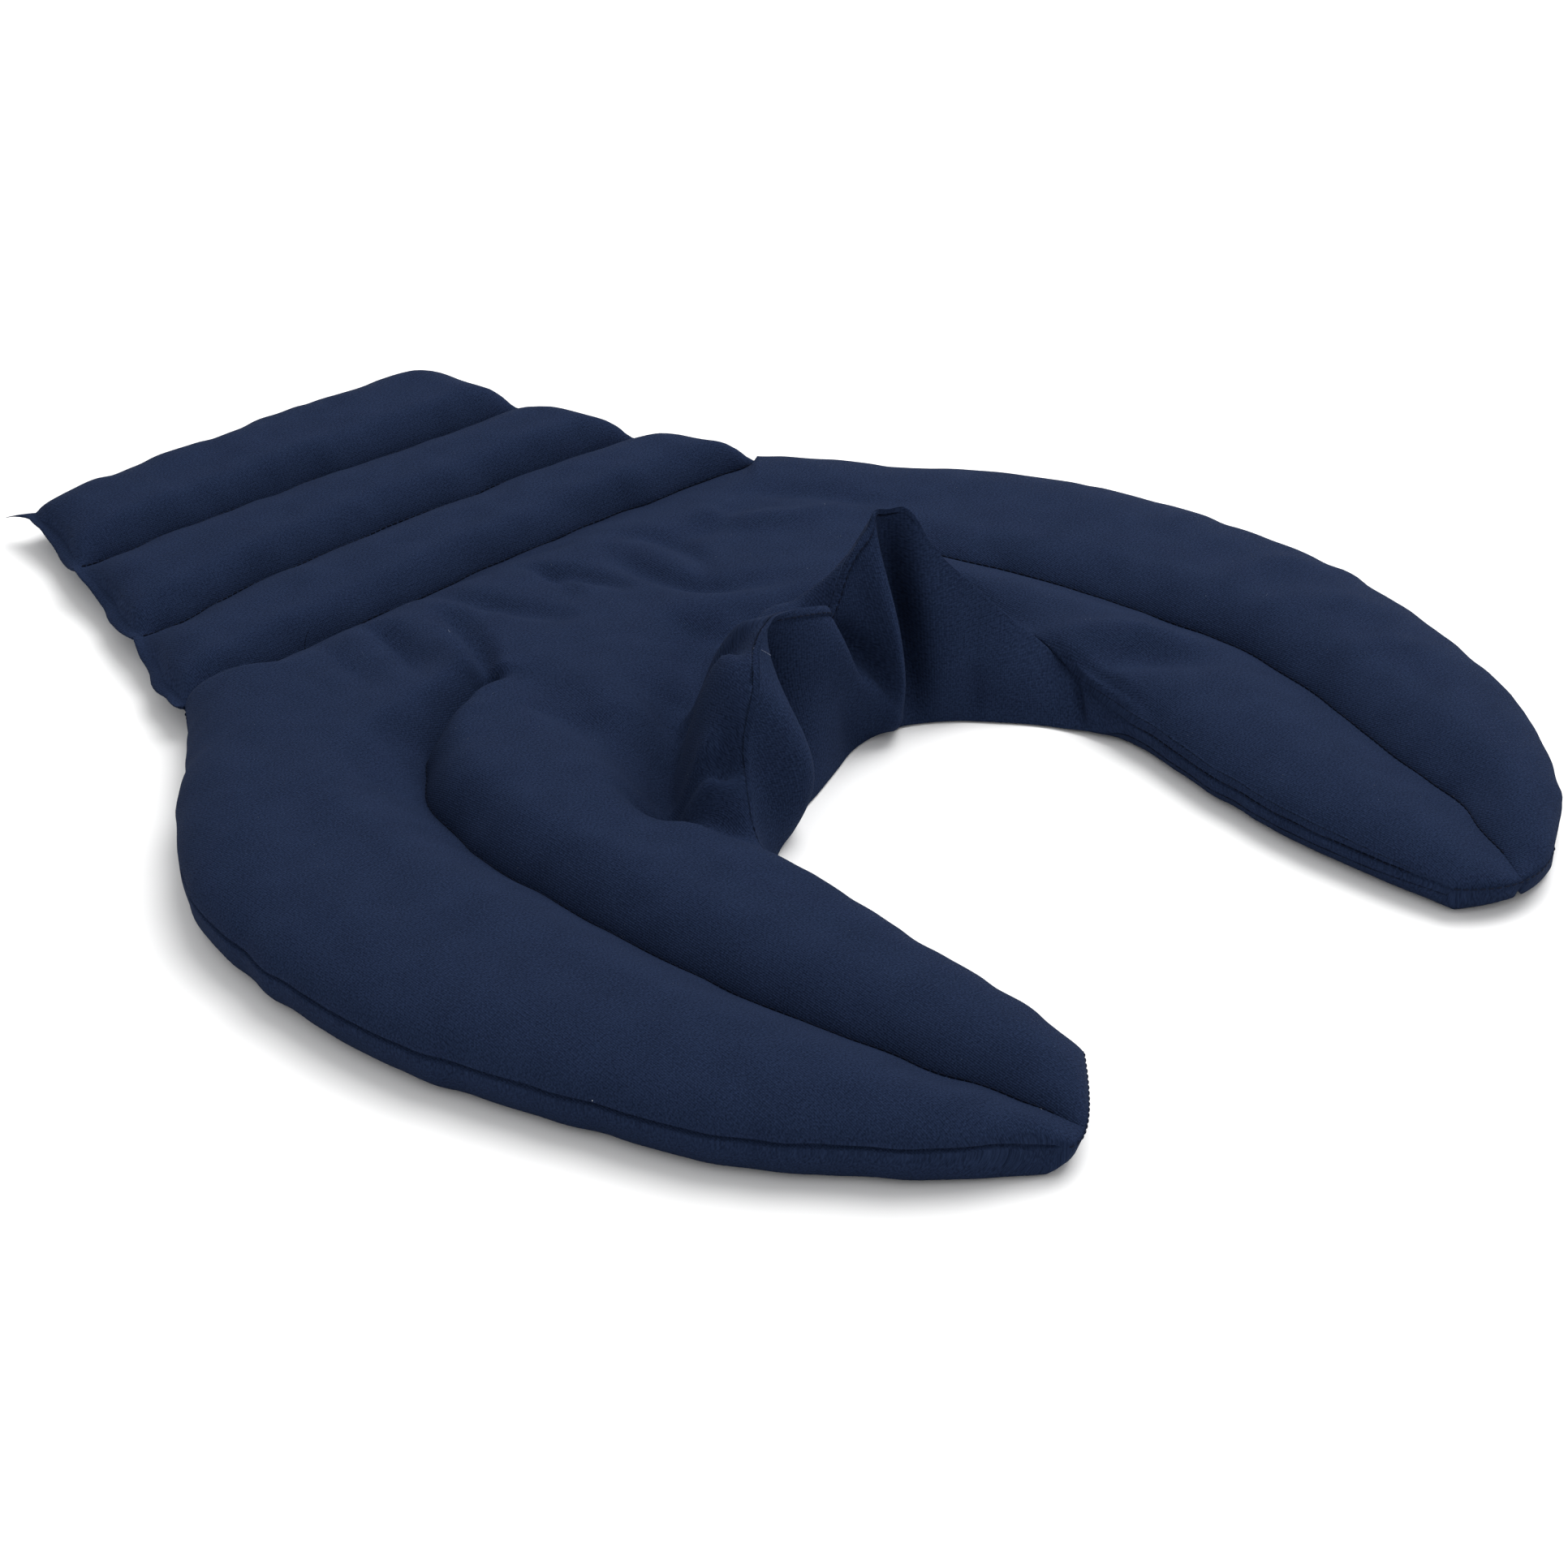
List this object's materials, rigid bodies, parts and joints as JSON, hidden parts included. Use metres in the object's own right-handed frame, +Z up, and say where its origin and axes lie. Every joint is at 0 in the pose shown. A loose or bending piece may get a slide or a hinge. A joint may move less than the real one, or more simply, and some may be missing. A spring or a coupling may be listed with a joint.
{
  "type": "cherry pit neck pillow",
  "caption": "Filled cloth heat pillow for neck, shoulders and upper back: crescent arms round a neck opening with a stand-up collar, and a back panel sewn into rolls.",
  "frame": {"origin": "middle of the footprint, on the face that the pillow lies on", "axes": "+Z up from the surface, +Y along the pillow's length towards the back panel, +X across it towards the arm that is far from the camera in the picture"},
  "size_m": [0.5004, 0.6269, 0.0846],
  "materials": {
    "navy_cotton": "matt navy cotton twill with a soft nap"
  },
  "bodies": {
    "root": {"pillow": "navy_cotton"}
  },
  "joints": []
}
